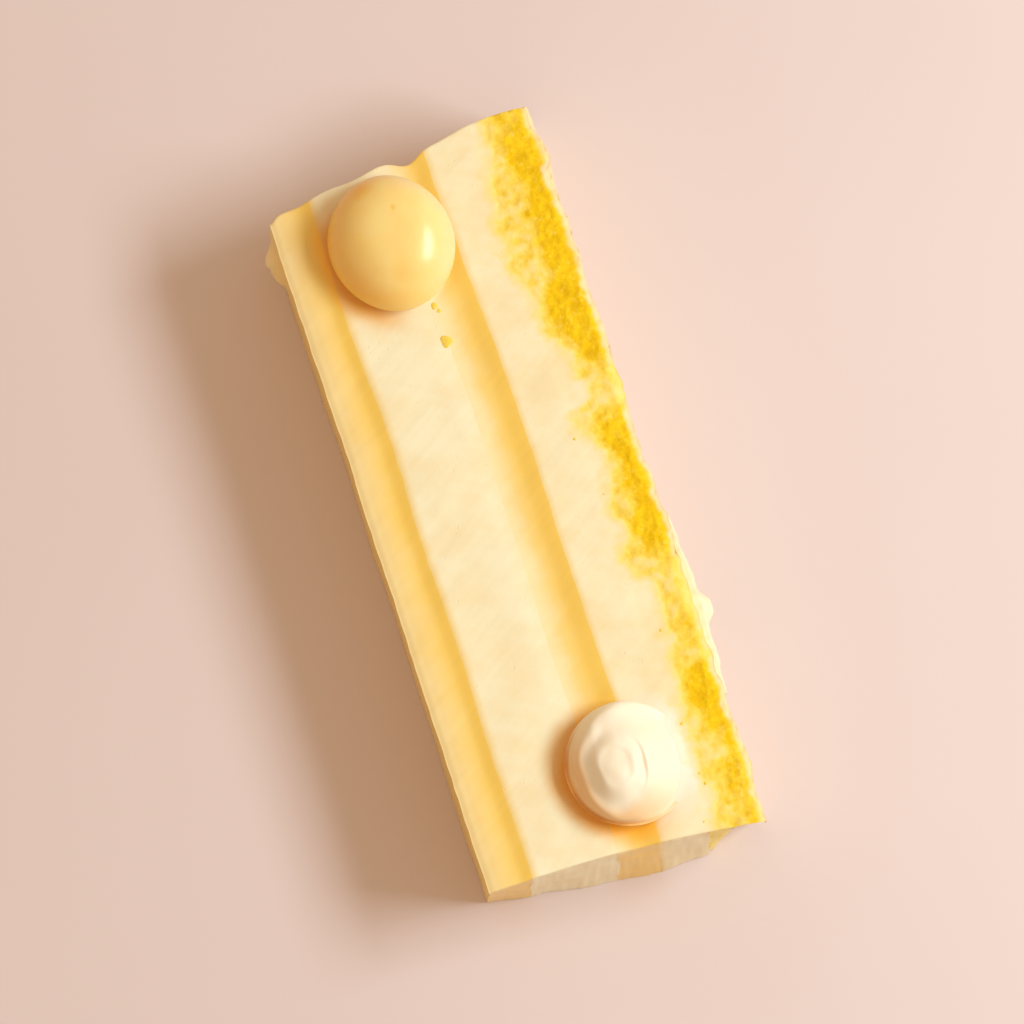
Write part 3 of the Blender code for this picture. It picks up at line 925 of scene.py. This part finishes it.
# %% [markdown]
# ## The custard dot
#
# Warm custard was piped and set as a full dome in one glossy skin. It is the shiniest food here, so its
# shader has a clear coat, and light goes deep into it. A pinhole near the top and a small dimple low on
# the near side are where bubbles burst, and painted shade makes both a deeper gold. Painted shade also
# darkens its flank on the curd's side, away from the light, and a streak on its far flank. Painted light
# makes it paler low on the other side, which faces the light.

# %% Custard
CUSTARD_HEIGHT = 6.6 * MM
CROWN_SHIFT = (0.8 * MM, 0.45 * MM)
PINHOLE_PLACE = (1.2 * MM, 3.2 * MM)
DIMPLE_PLACE = (-0.3 * MM, -5.0 * MM)
BUBBLE_DEPTH = 0.12 * MM
SHADOW_STREAK_ANGLE = 1.95
CUSTARD_TOP = tint(249, 224, 152)
CUSTARD_GOLD = tint(247, 214, 128)
CUSTARD_PAINTED_SHADE = tint(245, 188, 60)
CUSTARD_PAINTED_LIGHT = tint(243, 219, 164)

custard = Finish("custard", roughness=0.3, subsurface_weight=0.7, subsurface_scale=2.2 * MM)
custard.shader.inputs["Subsurface Radius"].default_value = (1.0, 0.5, 0.15)
custard.shader.inputs["Coat Roughness"].default_value = 0.2
blotches = custard.cloud(5 * MM, 1.0)
uneven = custard.mix(custard.step(blotches, 0.3, 0.7) * 0.6, CUSTARD_TOP, CUSTARD_GOLD)
painted_lit_side = custard.mix(custard.attribute("thin"), uneven, CUSTARD_PAINTED_LIGHT)
custard.varies("Base Color", custard.mix(custard.attribute("deep"), painted_lit_side, CUSTARD_PAINTED_SHADE))
custard.varies("Roughness", 0.32 + blotches * 0.08)
custard.varies("Coat Weight", 0.16 + blotches * 0.14)
custard.varies("Normal", custard.bump(custard.cloud(1.6 * MM, 3.0), 0.03 * MM, 0.2))


def dome_outline(radius, height, steps):
    """Points (radius, height) of a dome's side, fuller and flatter on top than an egg's."""
    reaches = [radius * (1.0 - (i / steps) ** 2) for i in range(steps + 1)]
    return [(reach, height * (1.0 - (reach / radius) ** 2.6) ** 0.6) for reach in reaches]


dome = dome_outline(CUSTARD_RADIUS, CUSTARD_HEIGHT + DOT_FOOT, 52)
bm = turned(foot_outline(CUSTARD_RADIUS) + dome, 112)
deep = bm.verts.layers.float.new("deep")
thin = bm.verts.layers.float.new("thin")
for vert in bm.verts:
    height = max(0.0, vert.co.z) / CUSTARD_HEIGHT
    angle = math.atan2(vert.co.y, vert.co.x)
    reach = math.hypot(vert.co.x, vert.co.y) / CUSTARD_RADIUS
    sag = 0.12 * MM * grain(vert.co.x, vert.co.y, vert.co.z, 4.5 * MM, 61)
    vert.co.x *= CUSTARD_OVAL[0] * (1.0 + 0.02 * math.cos(2 * angle + 0.6))
    vert.co.y *= CUSTARD_OVAL[1]
    vert.co.x += CROWN_SHIFT[0] * height + sag * height
    vert.co.y += CROWN_SHIFT[1] * height
    pinhole = bell(math.dist(vert.co.xy, PINHOLE_PLACE), 0.0, 0.3 * MM)
    dimple = bell(math.dist(vert.co.xy, DIMPLE_PLACE), 0.0, 1.7 * MM)
    left = smooth(0.15, 0.85, 0.5 - 0.5 * math.cos(angle + 0.1))
    if height > 0.0:
        vert.co.z -= BUBBLE_DEPTH * pinhole + BUBBLE_DEPTH * dimple
    # Painted shade: the flank away from the light, a shadow streak on the far flank and the hollows of
    # pinhole and dimple are painted a deeper gold.
    flank_shade = left * (0.2 * smooth(0.36, 0.68, reach) + 0.5 * smooth(0.7, 0.98, reach))
    shadow_streak = 0.8 * bell(angle, SHADOW_STREAK_ANGLE, 0.3) * smooth(0.55, 0.85, reach)
    vert[deep] = min(1.0, max(flank_shade, shadow_streak, 0.3 * dimple, 0.5 * pinhole))
    # Painted light: paler low on the right, the side that faces the light.
    right = smooth(0.45, 0.95, 0.5 + 0.5 * math.cos(angle - 0.2))
    vert[thin] = right * (1.0 - smooth(0.25, 0.8, height))
stand(bm, CUSTARD_CENTRE)
finish_piece("custard_piped_dot", bm, custard.material, "custard_dot")

# %% [markdown]
# ## The cream dot
#
# The cream dot was pressed flatter. On the curd's side it falls away to a thin lip, where the nozzle
# folded it over. On the other side it slopes down from the nub to a thin rim at the cut face. The nub
# stands off centre and is longer than wide, with a short groove at its foot and a soft trail to the
# far rim. All of that is a height added to a turned outline, as a function of a point's distance from the
# axis and its direction.

# %% Cream dot
CREAM_SKIRT = 2.2 * MM
CREAM_HEIGHT = 5.4 * MM
NUB_TOP = 2.0 * MM
NUB_FOOT = 4.2 * MM
NUB_SHIFT = (-1.7 * MM, -0.4 * MM)
NUB_OVAL = (0.95, 1.22)
CREST_PLACE = (0.3 * MM, -1.5 * MM)
SETTLED_LEVEL = 0.32 * MM
LIP_RADIUS = 6.7 * MM
GROOVE_RADIUS = 3.5 * MM
TRAIL_ANGLE = 1.95


def cream_outline(top, steps):
    """Points (radius, height) from the cream dot's widest line over its skirt and nub to the axis."""
    points = []
    for i in range(steps + 1):
        radius = CREAM_RADIUS * (1.0 - (i / steps) ** 2)
        skirt = CREAM_SKIRT * math.sqrt(1.0 - (radius / CREAM_RADIUS) ** 5)
        nub = (top - CREAM_SKIRT) * (1.0 - smooth(NUB_TOP, NUB_FOOT, radius))
        points.append((radius, skirt + nub * (1.0 - 0.11 * (radius / NUB_TOP) ** 2)))
    return points


def fold(radius, angle):
    """What the nozzle's folds add: a fall to a lip, a slope up to the nub, a groove and a trail."""
    left = smooth(0.35, 0.95, 0.5 - 0.5 * math.cos(angle - 0.35))
    lip = 0.3 * bell(radius, LIP_RADIUS, 0.6 * MM) - 1.1 * smooth(3.9 * MM, 6.9 * MM, radius)
    open_side = 0.5 + 0.5 * math.cos(angle - 0.4)
    slope = 1.2 * (1.0 - smooth(3.3 * MM, 7.5 * MM, radius)) * smooth(1.5 * MM, 4.2 * MM, radius)
    groove = 0.5 * bell(radius, GROOVE_RADIUS, 0.35 * MM) * bell(angle, -0.1, 0.5)
    on_skirt = smooth(3.2 * MM, 4.4 * MM, radius)
    trail = 0.4 * bell(angle, TRAIL_ANGLE, 0.35) * smooth(7.4 * MM, 4.2 * MM, radius) * on_skirt
    return (lip * left + slope * open_side - groove + trail) * MM


def settled(radius, angle):
    """How far the skirt has sunk onto the cut face: on the sponge's side, towards its rim."""
    right = smooth(0.4, 0.95, 0.5 + 0.5 * math.cos(angle + 0.2))
    return right * smooth(3.9 * MM, 7.3 * MM, radius)


dot_cream = Finish("whipped_cream_dot", roughness=0.5)
dot_tone = dot_cream.cloud(3 * MM, 2.0)
dot_white = dot_cream.mix(dot_tone * 0.8, tint(244, 235, 216), tint(242, 229, 202))
# Painted shade: the dot turns orange where its shade is painted.
dot_cream.varies("Base Color", dot_cream.mix(dot_cream.attribute("dot_painted_shade") * 0.8, dot_white, PAINTED_SHADE_ORANGE))
dot_cream.varies("Roughness", 0.42 + dot_tone * 0.16)
dot_cream.varies("Normal", dot_cream.bump(dot_cream.cloud(0.8 * MM, 3.0), 0.05 * MM, 0.4))

bm = turned(foot_outline(CREAM_RADIUS) + cream_outline(CREAM_HEIGHT + DOT_FOOT, 72), 144)
dot_painted_shade = bm.verts.layers.float.new("dot_painted_shade")
for vert in bm.verts:
    radius = math.hypot(vert.co.x, vert.co.y)
    angle = math.atan2(vert.co.y, vert.co.x)
    # Painted shade: an orange band low on the side away from the light, and in the hollow between nub and
    # lip.
    shaded_side = smooth(0.2, 0.9, 0.5 - 0.5 * math.cos(angle - 0.7))
    hollow = shaded_side * smooth(3.4 * MM, 4.8 * MM, radius) * (1.0 - 0.5 * smooth(6.8 * MM, 7.6 * MM, radius))
    vert[dot_painted_shade] = max(shaded_side * (1.0 - smooth(0.8 * MM, 2.4 * MM, vert.co.z)), 0.7 * hollow)
    inward = 1.0 - smooth(NUB_FOOT, CREAM_RADIUS, radius)
    if vert.co.z > 0.0:
        on_top = smooth(0.0, 0.5 * CREAM_SKIRT, vert.co.z)
        lump = 0.1 * MM * (grain(vert.co.x, vert.co.y, 0, 2.0 * MM, 71) - 1.0)
        crest = bell(math.dist(vert.co.xy, CREST_PLACE), 0.0, 1.8 * MM)
        slump = 0.12 * MM * (crest - 1.0) * smooth(NUB_FOOT, NUB_TOP, radius)
        vert.co.z += (fold(radius, angle) + lump + slump) * on_top
    vert.co.z = blend(vert.co.z, DOT_FOOT - GAP - SETTLED_LEVEL, settled(radius, angle))
    round_about = grain(1.6 * MM * math.cos(angle), 1.6 * MM * math.sin(angle), 0, 1.5 * MM, 73)
    uneven = 1.0 + 0.12 * round_about * inward * smooth(0.6 * MM, 2.2 * MM, radius)
    vert.co.x *= uneven * blend(1.0, NUB_OVAL[0], inward)
    vert.co.y *= uneven * blend(1.0, NUB_OVAL[1], inward)
    vert.co.x += NUB_SHIFT[0] * inward
    vert.co.y += NUB_SHIFT[1] * inward
stand(bm, CREAM_CENTRE)
finish_piece("cream_piped_dot", bm, dot_cream.material, "cream_dot")

# %% [markdown]
# ## Cream on the sponge's outer side
#
# A ribbon of cream was pressed out under the knife and clings to the baked side. It is a thin strip,
# thick in the middle with one drawn-out point, so a cube cut into a fine grid by `subdivide_edges` is
# pulled to its outline, and noise makes its face lumpy and its edges ragged.

# %% Side ribbon
RIBBON_LENGTH = 24.0 * MM
RIBBON_LOW = 5.0 * MM
RIBBON_HIGH = 12.5 * MM
RIBBON_DEPTH = 1.5 * MM
RIBBON_OVERLAP = 1.0 * MM


def gridded_cube(cells):
    """A closed cube from 0 to 1 whose faces are grids with the given cells along X, Y and Z."""
    bm = bmesh.new()
    bmesh.ops.create_cube(bm, size=1.0)
    bmesh.ops.translate(bm, verts=bm.verts, vec=(0.5, 0.5, 0.5))
    for axis, count in enumerate(cells):
        edges = [e for e in bm.edges if abs(e.verts[0].co[axis] - e.verts[1].co[axis]) > 0.5]
        bmesh.ops.subdivide_edges(bm, edges=edges, cuts=count - 1, use_grid_fill=True)
    return bm


bm = gridded_cube((5, 110, 34))
for vert in bm.verts:
    u, v, w = vert.co
    along = RIBBON_MIDDLE + RIBBON_LENGTH * (v - 0.5)
    wander = 1.1 * MM * drift(along, 31, 6 * MM)
    low, high = RIBBON_LOW + wander, RIBBON_HIGH + 0.6 * wander
    ends = math.sin(math.pi * (0.08 + 0.84 * v)) ** 0.6
    ragged = 0.35 * MM * grain(0, along, 0, 1.3 * MM, 81 + round(w)) * (2 * w - 1)
    up = (low + high) / 2 + (high - low) * (w - 0.5) * ends + ragged
    peak = math.exp(-(((v - 0.47) / 0.07) ** 2))
    depth = RIBBON_DEPTH * (0.7 + 0.25 * drift(along, 37, 3 * MM) + 0.9 * peak)
    lumpy = 0.86 + 0.14 * grain(0, along, up, 1.4 * MM, 83)
    bulge = math.cos(math.pi * 0.8 * (w - 0.5)) * ends * lumpy
    inner = -RIBBON_OVERLAP * smooth(0.0, 0.3, min(v, 1 - v) * 4)
    vert.co = START + Vector((WIDTH + GAP + inner * (1 - u) + depth * bulge * u, along, up))
bmesh.ops.recalc_face_normals(bm, faces=bm.faces)
finish_piece("cream_side_ribbon", bm, cream.material, "side_ribbon")

# %% [markdown]
# ## Loose crumbs
#
# A cut drops crumbs. A few grains of sponge stick to the wiped cream, and three larger ones sit on the
# edge of the wide cream. Each is an icosphere, flattened and pushed out of round by noise, and together
# they are one piece.

# %% Loose crumbs
random.seed(12)
PLACED_CRUMBS = ((16.15, 22.3, 0.7), (16.0, 27.0, 0.4), (16.3, 26.3, 0.28))
SCATTERED_CRUMBS = 7
CRUMB_FILM = 0.35


def face_height(across, along):
    """Height of the cut face at a place, whichever layer it is in."""
    number = 0
    while number < SPONGE and across > joint_at(number + 1, along):
        number += 1
    left, right = joint_at(number, along), joint_at(number + 1, along)
    return THICKNESS - sunk(number, (across - left) / (right - left), across, along)


def grain_of_food(bm, place, radius, detail, flat, lumps):
    """Adds one lumpy, flattened grain around a place."""
    verts = bmesh.ops.create_icosphere(bm, subdivisions=detail, radius=radius)["verts"]
    for vert in verts:
        lump = 1.0 + lumps * grain(*(vert.co + place), radius * 1.1, 91)
        vert.co = vert.co * lump
        vert.co.z *= flat
    bmesh.ops.translate(bm, verts=verts, vec=START + place)


bm = bmesh.new()
for across, along, radius in PLACED_CRUMBS:
    spot = Vector((across * MM, along * MM, 0.0))
    spot.z = face_height(spot.x, spot.y)
    grain_of_food(bm, spot, radius * MM, 3, 0.28, 0.35)
for _ in range(SCATTERED_CRUMBS):
    along = random.uniform(-45, 46)
    reach = ease(FILM_REACH, along)
    across = reach - abs(random.gauss(0.0, 1.2)) - 0.4
    radius = random.uniform(0.12, 0.22)
    spot = Vector((max(22.5, min(34.2, across)) * MM, along * MM, 0.0))
    if open_face(spot.x, spot.y) > 0.99:
        spot.z = face_height(spot.x, spot.y)
        grain_of_food(bm, spot, radius * MM, 2, 0.4, 0.4)
dusting = bm.verts.layers.float.new("film")
for vert in bm.verts:
    vert[dusting] = CRUMB_FILM
finish_piece("loose_crumbs", bm, sponge.material)

# %% [markdown]
# ## The stage
#
# The slice lies on a plain pale surface. One wide, low softbox stands to its right and a little to the
# near side, as a window would, and a dim warm room fills the shadows. The camera looks down almost from
# above, with a long lens, so the layers stay parallel.

# %% Floor, light and camera
FLOOR_COLOUR = tint(225, 210, 212)
FLOOR_SHADE = tint(220, 204, 205)
LIGHT_TURN = math.radians(-14)
LIGHT_HEIGHT = math.radians(44)
LIGHT_DISTANCE = 0.55
LIGHT_SIZE = (0.32, 0.15)
LIGHT_POWER = 2.47
LIGHT_COLOUR = (0.86, 0.97, 1.0)
ROOM_COLOUR = (1.0, 0.72, 0.46, 1.0)
ROOM_STRENGTH = 0.66
SENSOR_WIDTH = 36.0
CAMERA_TURN = math.radians(-18)
CAMERA_HEIGHT = math.radians(79)
FRAME_HEIGHT = 125 * MM
CAMERA_DISTANCE = 1.0


def direction(turn, height):
    """From the slice towards something that far round from +X and that high above the floor."""
    level = math.cos(height)
    return Vector((math.cos(turn) * level, math.sin(turn) * level, math.sin(height)))


def hang(name, data, towards, place):
    """Puts a light or a camera at a place, with its back in one direction."""
    thing = bpy.data.objects.new(name, data)
    thing.location = place
    thing.rotation_mode = "QUATERNION"
    thing.rotation_quaternion = towards.to_track_quat("Z", "Y")
    bpy.context.scene.collection.objects.link(thing)
    return thing


floor_finish = Finish("pale_floor", roughness=0.5)
floor_tone = floor_finish.cloud(60 * MM, 2.0)
floor_finish.varies("Base Color", floor_finish.mix(floor_tone, FLOOR_COLOUR, FLOOR_SHADE))
bm = bmesh.new()
bmesh.ops.create_grid(bm, x_segments=1, y_segments=1, size=1.5)
bmesh.ops.translate(bm, verts=bm.verts, vec=(0, 0, -0.05 * MM))
floor = new_object("floor", bm, floor_finish.material)
floor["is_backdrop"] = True

softbox = bpy.data.lights.new("softbox", "AREA")
softbox.shape = "RECTANGLE"
softbox.size, softbox.size_y = LIGHT_SIZE
softbox.energy = LIGHT_POWER
softbox.color = LIGHT_COLOUR
towards = direction(LIGHT_TURN, LIGHT_HEIGHT)
hang("softbox", softbox, towards, towards * LIGHT_DISTANCE)

room = bpy.data.worlds.new("room")
room.use_nodes = True
room.node_tree.nodes["Background"].inputs["Color"].default_value = ROOM_COLOUR
room.node_tree.nodes["Background"].inputs["Strength"].default_value = ROOM_STRENGTH
bpy.context.scene.world = room

lens = bpy.data.cameras.new("camera")
lens.sensor_width = SENSOR_WIDTH
lens.lens = SENSOR_WIDTH * CAMERA_DISTANCE / FRAME_HEIGHT
lens.clip_start = 0.01
back = direction(CAMERA_TURN - math.pi / 2, CAMERA_HEIGHT)
aim = START + Vector((WIDTH / 2 - 0.4 * MM, -0.5 * MM, THICKNESS))
camera = hang("camera", lens, back, aim + back * CAMERA_DISTANCE)
bpy.context.scene.camera = camera
bpy.context.scene.view_settings.view_transform = "Standard"
print("camera at", [round(v, 3) for v in camera.location], "lens", round(lens.lens, 1), "mm")

# %% [markdown]
# ## Last measure
#
# Both boxes, the solids' and the finished slice's, are printed side by side. The finished slice may
# not outgrow its solids.

# %% Sizes
finished_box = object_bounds()
sizes = {
    "cad": [list(corner) for corner in solid_box],
    "visual": [list(corner) for corner in finished_box],
}
for word, box in sizes.items():
    print(word, [[round(v / MM, 2) for v in corner] for corner in box])
